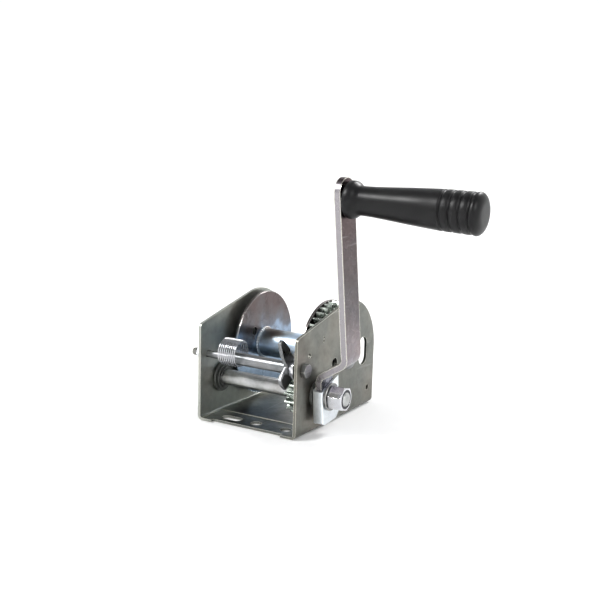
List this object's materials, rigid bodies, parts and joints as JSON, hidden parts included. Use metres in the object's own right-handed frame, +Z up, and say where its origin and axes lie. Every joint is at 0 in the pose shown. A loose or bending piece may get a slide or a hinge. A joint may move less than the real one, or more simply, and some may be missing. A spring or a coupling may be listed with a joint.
{
  "type": "boat trailer winch",
  "caption": "Hand winch with a folded steel frame, a geared rope drum, a cranked handle and a two-way ratchet pawl, for pulling a boat onto a trailer.",
  "frame": {"origin": "centre of the underside of the base", "axes": "+X towards the crank side along the drum and shaft axes, +Y to the back where the rope leaves, +Z up"},
  "size_m": [0.2647, 0.1499, 0.2199],
  "materials": {
    "frame_zinc": "grey-green passivated zinc plate, satin",
    "tube_zinc": "bluish zinc plate",
    "flange_zinc": "zinc plate with a faint blue, violet and yellow tint",
    "crank_zinc": "bright zinc plate with a faint pink tint",
    "hub_zinc": "bluish-white zinc plate",
    "bright_zinc": "bright zinc plate",
    "plain_zinc": "plain zinc plate",
    "greased_steel": "machined steel teeth under dark grease",
    "dark_bush": "dark sintered bush or oiled steel",
    "nylon": "dark nylon",
    "grip_plastic": "black satin moulded plastic"
  },
  "bodies": {
    "frame": {"frame_channel": "frame_zinc", "axle_bolt": "plain_zinc", "axle_nut": "bright_zinc", "axle_washer": "plain_zinc", "axle_spacer_left": "plain_zinc", "axle_spacer_right": "plain_zinc", "shaft_bush_left": "dark_bush", "shaft_bush_right": "dark_bush", "tie_bolt": "plain_zinc", "tie_nut": "bright_zinc", "tie_sleeve": "bright_zinc", "pawl_bush": "bright_zinc", "tie_washer": "bright_zinc", "tie_lock_washer": "dark_bush", "pawl_spring": "bright_zinc"},
    "drum": {"drum_tube": "tube_zinc", "drum_flange_left": "flange_zinc", "drum_flange_right": "flange_zinc", "drum_gear": "greased_steel", "drum_bush_left": "dark_bush", "drum_bush_right": "dark_bush"},
    "crank": {"drive_shaft": "bright_zinc", "pinion": "greased_steel", "thrust_washer": "dark_bush", "retaining_ring": "dark_bush", "crank_hub": "hub_zinc", "crank_arm": "crank_zinc", "crank_washer": "plain_zinc", "crank_nut": "bright_zinc", "crank_nut_insert": "nylon", "grip_spindle": "plain_zinc"},
    "grip": {"grip": "grip_plastic", "grip_washer": "plain_zinc"},
    "pawl": {"pawl": "plain_zinc"}
  },
  "joints": [
    {"name": "drum_spin", "type": "hinge", "parent": "frame", "child": "drum", "pos_m": [0, 0.02, 0.0546], "axis": [1, 0, 0], "continuous": true},
    {"name": "crank_spin", "type": "hinge", "parent": "frame", "child": "crank", "pos_m": [0, -0.03798, 0.033], "axis": [1, 0, 0], "continuous": true},
    {"name": "grip_spin", "type": "hinge", "parent": "crank", "child": "grip", "pos_m": [0.08015, -0.05432, 0.20272], "axis": [0.9996, 0.0027, -0.0278], "continuous": true},
    {"name": "pawl_tip", "type": "hinge", "parent": "frame", "child": "pawl", "pos_m": [0, -0.059, 0.058], "axis": [1, 0, 0], "range_deg": [-29, 39]}
  ],
  "couplings": [
    {"joint": "crank_spin", "follows": "drum_spin", "ratio": -2.6667}
  ]
}
